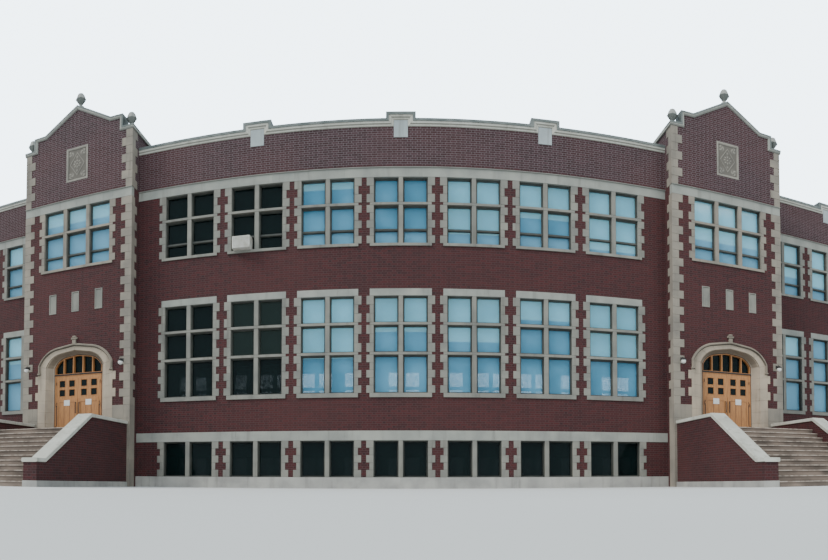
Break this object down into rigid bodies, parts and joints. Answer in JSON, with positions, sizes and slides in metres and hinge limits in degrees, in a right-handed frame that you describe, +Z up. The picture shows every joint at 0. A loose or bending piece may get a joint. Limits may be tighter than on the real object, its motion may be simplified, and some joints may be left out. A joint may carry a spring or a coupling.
{
  "type": "school building",
  "caption": "Brick and stone school building with toothed window surrounds, two gabled entrance towers, arched double doors that open and outside steps.",
  "frame": {"origin": "ground level at the middle of the plan", "axes": "+X along the front, +Y from the front to the back, +Z up"},
  "size_m": [39.7, 21.65, 14.9508],
  "materials": {
    "brick": "dark red-brown fired brick with light mortar",
    "dressed_stone": "weathered buff cast stone",
    "concrete": "rough grey concrete",
    "step_stone": "worn grey-brown concrete treads",
    "roofing": "gravelled flat roofing",
    "flashing_metal": "teal-grey folded sheet",
    "door_wood": "varnished orange-tan timber",
    "window_glass": "clear window glass",
    "black_iron": "black painted iron",
    "globe_glass": "opal white globe",
    "cooler_metal": "weathered enamelled sheet"
  },
  "bodies": {
    "building": {"basement_stonework": "dressed_stone", "carved_panels": "dressed_stone", "door_arches": "dressed_stone", "door_foot_walls": "brick", "door_jambs": "dressed_stone", "end_copings": "dressed_stone", "end_walls": "brick", "finials": "dressed_stone", "first_floor": "concrete", "first_floor_stonework": "dressed_stone", "gable_copings": "dressed_stone", "ground_slab": "concrete", "lantern_brackets": "black_iron", "lantern_globes": "globe_glass", "left_door_frame": "door_wood", "left_steps": "step_stone", "main_coping": "dressed_stone", "main_front_wall": "brick", "main_glazing": "window_glass", "parapet_flashings": "flashing_metal", "plinth": "concrete", "rear_coping": "dressed_stone", "rear_glazing": "window_glass", "rear_stonework": "dressed_stone", "rear_wall": "brick", "right_door_frame": "door_wood", "right_steps": "step_stone", "roof_deck": "roofing", "second_floor": "concrete", "second_floor_stonework": "dressed_stone", "stair_copings": "dressed_stone", "stair_plinths": "concrete", "stair_walls": "brick", "tower_attic_walls": "brick", "tower_base_stones": "dressed_stone", "tower_corner_stones": "dressed_stone", "tower_door_piers": "brick", "tower_front_walls": "brick", "tower_glazing": "window_glass", "tower_return_walls": "brick", "tower_roofs": "roofing", "tower_window_stonework": "dressed_stone", "wall_slot_stones": "dressed_stone", "window_air_conditioner": "cooler_metal", "wing_copings": "dressed_stone", "wing_front_walls": "brick", "wing_glazing": "window_glass", "wing_stonework": "dressed_stone"},
    "left_doorway_left_leaf": {"left_doorway_left_leaf": "door_wood"},
    "left_doorway_right_leaf": {"left_doorway_right_leaf": "door_wood"},
    "right_doorway_left_leaf": {"right_doorway_left_leaf": "door_wood"},
    "right_doorway_right_leaf": {"right_doorway_right_leaf": "door_wood"}
  },
  "joints": [
    {"name": "left_doorway_left_leaf_hinge", "type": "hinge", "parent": "building", "child": "left_doorway_left_leaf", "pos_m": [-12.792, -4.613, 3], "axis": [0, 0, -1], "range_deg": [0, 90]},
    {"name": "left_doorway_right_leaf_hinge", "type": "hinge", "parent": "building", "child": "left_doorway_right_leaf", "pos_m": [-10.868, -4.613, 3], "axis": [0, 0, 1], "range_deg": [0, 90]},
    {"name": "right_doorway_left_leaf_hinge", "type": "hinge", "parent": "building", "child": "right_doorway_left_leaf", "pos_m": [10.868, -4.613, 3], "axis": [0, 0, -1], "range_deg": [0, 90]},
    {"name": "right_doorway_right_leaf_hinge", "type": "hinge", "parent": "building", "child": "right_doorway_right_leaf", "pos_m": [12.792, -4.613, 3], "axis": [0, 0, 1], "range_deg": [0, 90]}
  ]
}
